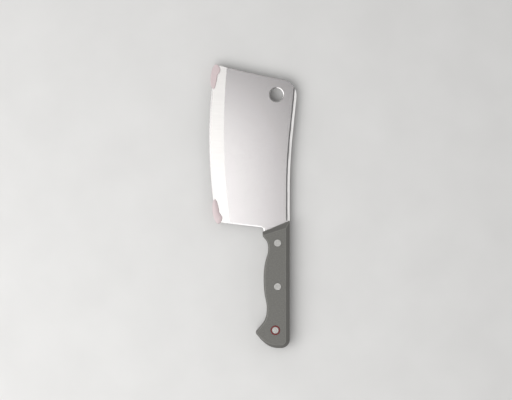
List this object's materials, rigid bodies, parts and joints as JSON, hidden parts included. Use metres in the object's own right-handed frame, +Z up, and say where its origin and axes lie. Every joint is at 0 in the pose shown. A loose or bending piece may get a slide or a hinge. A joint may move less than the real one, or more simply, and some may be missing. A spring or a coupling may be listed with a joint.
{
  "type": "cleaver",
  "caption": "Full-tang kitchen cleaver with a broad bevelled blade, a hanging hole, riveted moulded handle scales and pull-off guards on the corners of its cutting edge.",
  "frame": {"origin": "on the surface that the right handle scale lies on, under the middle of the bounding box", "axes": "+Y along the knife to the toe, +X across it to the spine, +Z up out of the left face"},
  "size_m": [0.0924, 0.3002, 0.02],
  "materials": {
    "blade_steel": "satin stainless steel with a brighter ground bevel",
    "grip_plastic": "fine moulded grain, warm grey",
    "rivet_metal": "turned satin heads",
    "accent_plastic": "smooth red",
    "guard_plastic": "milky translucent"
  },
  "bodies": {
    "knife": {"blade": "blade_steel", "left_scale": "grip_plastic", "right_scale": "grip_plastic", "front_rivet_sleeve": "rivet_metal", "front_rivet_pin": "rivet_metal", "middle_rivet_sleeve": "rivet_metal", "middle_rivet_pin": "rivet_metal", "butt_rivet_sleeve": "rivet_metal", "butt_rivet_pin": "rivet_metal", "left_accent_ring": "accent_plastic", "right_accent_ring": "accent_plastic"},
    "toe_guard": {"toe_guard": "guard_plastic"},
    "heel_guard": {"heel_guard": "guard_plastic"}
  },
  "joints": [
    {"name": "toe_guard_slide", "type": "slide", "parent": "knife", "child": "toe_guard", "axis": [-0.5769, 0.8168, 0], "range_m": [0, 0.03]},
    {"name": "heel_guard_slide", "type": "slide", "parent": "knife", "child": "heel_guard", "axis": [-0.6909, -0.7229, 0], "range_m": [0, 0.03]}
  ]
}
